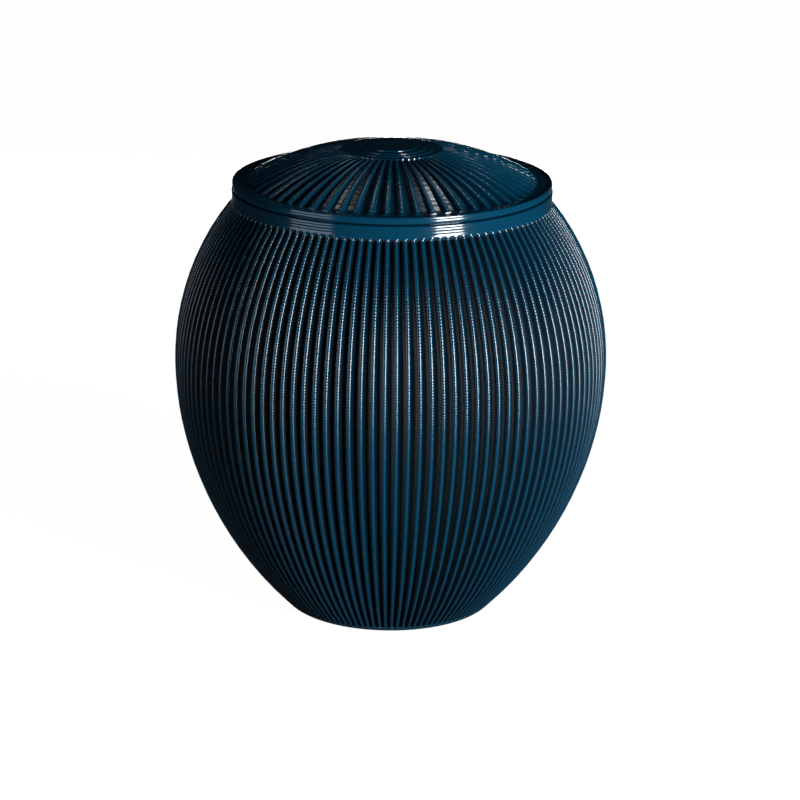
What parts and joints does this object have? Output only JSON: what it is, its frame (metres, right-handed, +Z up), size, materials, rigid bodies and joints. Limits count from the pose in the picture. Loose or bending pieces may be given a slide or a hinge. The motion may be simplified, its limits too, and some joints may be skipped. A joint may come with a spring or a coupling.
{
  "type": "funeral urn",
  "caption": "Ovoid cremation urn with close vertical ribs, a smooth collar and a domed, radially ribbed lift-off lid.",
  "frame": {"origin": "middle of the flat underside, on the surface that the urn stands on", "axes": "+Z up along the urn's axis of revolution, -Y towards the viewer"},
  "size_m": [0.1916, 0.1916, 0.2083],
  "materials": {
    "vessel_plastic": "glossy petrol-blue printed plastic with fine level layer lines",
    "lid_plastic": "glossy petrol-blue printed plastic with fine level layer lines"
  },
  "bodies": {
    "root": {"vessel": "vessel_plastic", "lid": "lid_plastic"}
  },
  "joints": []
}
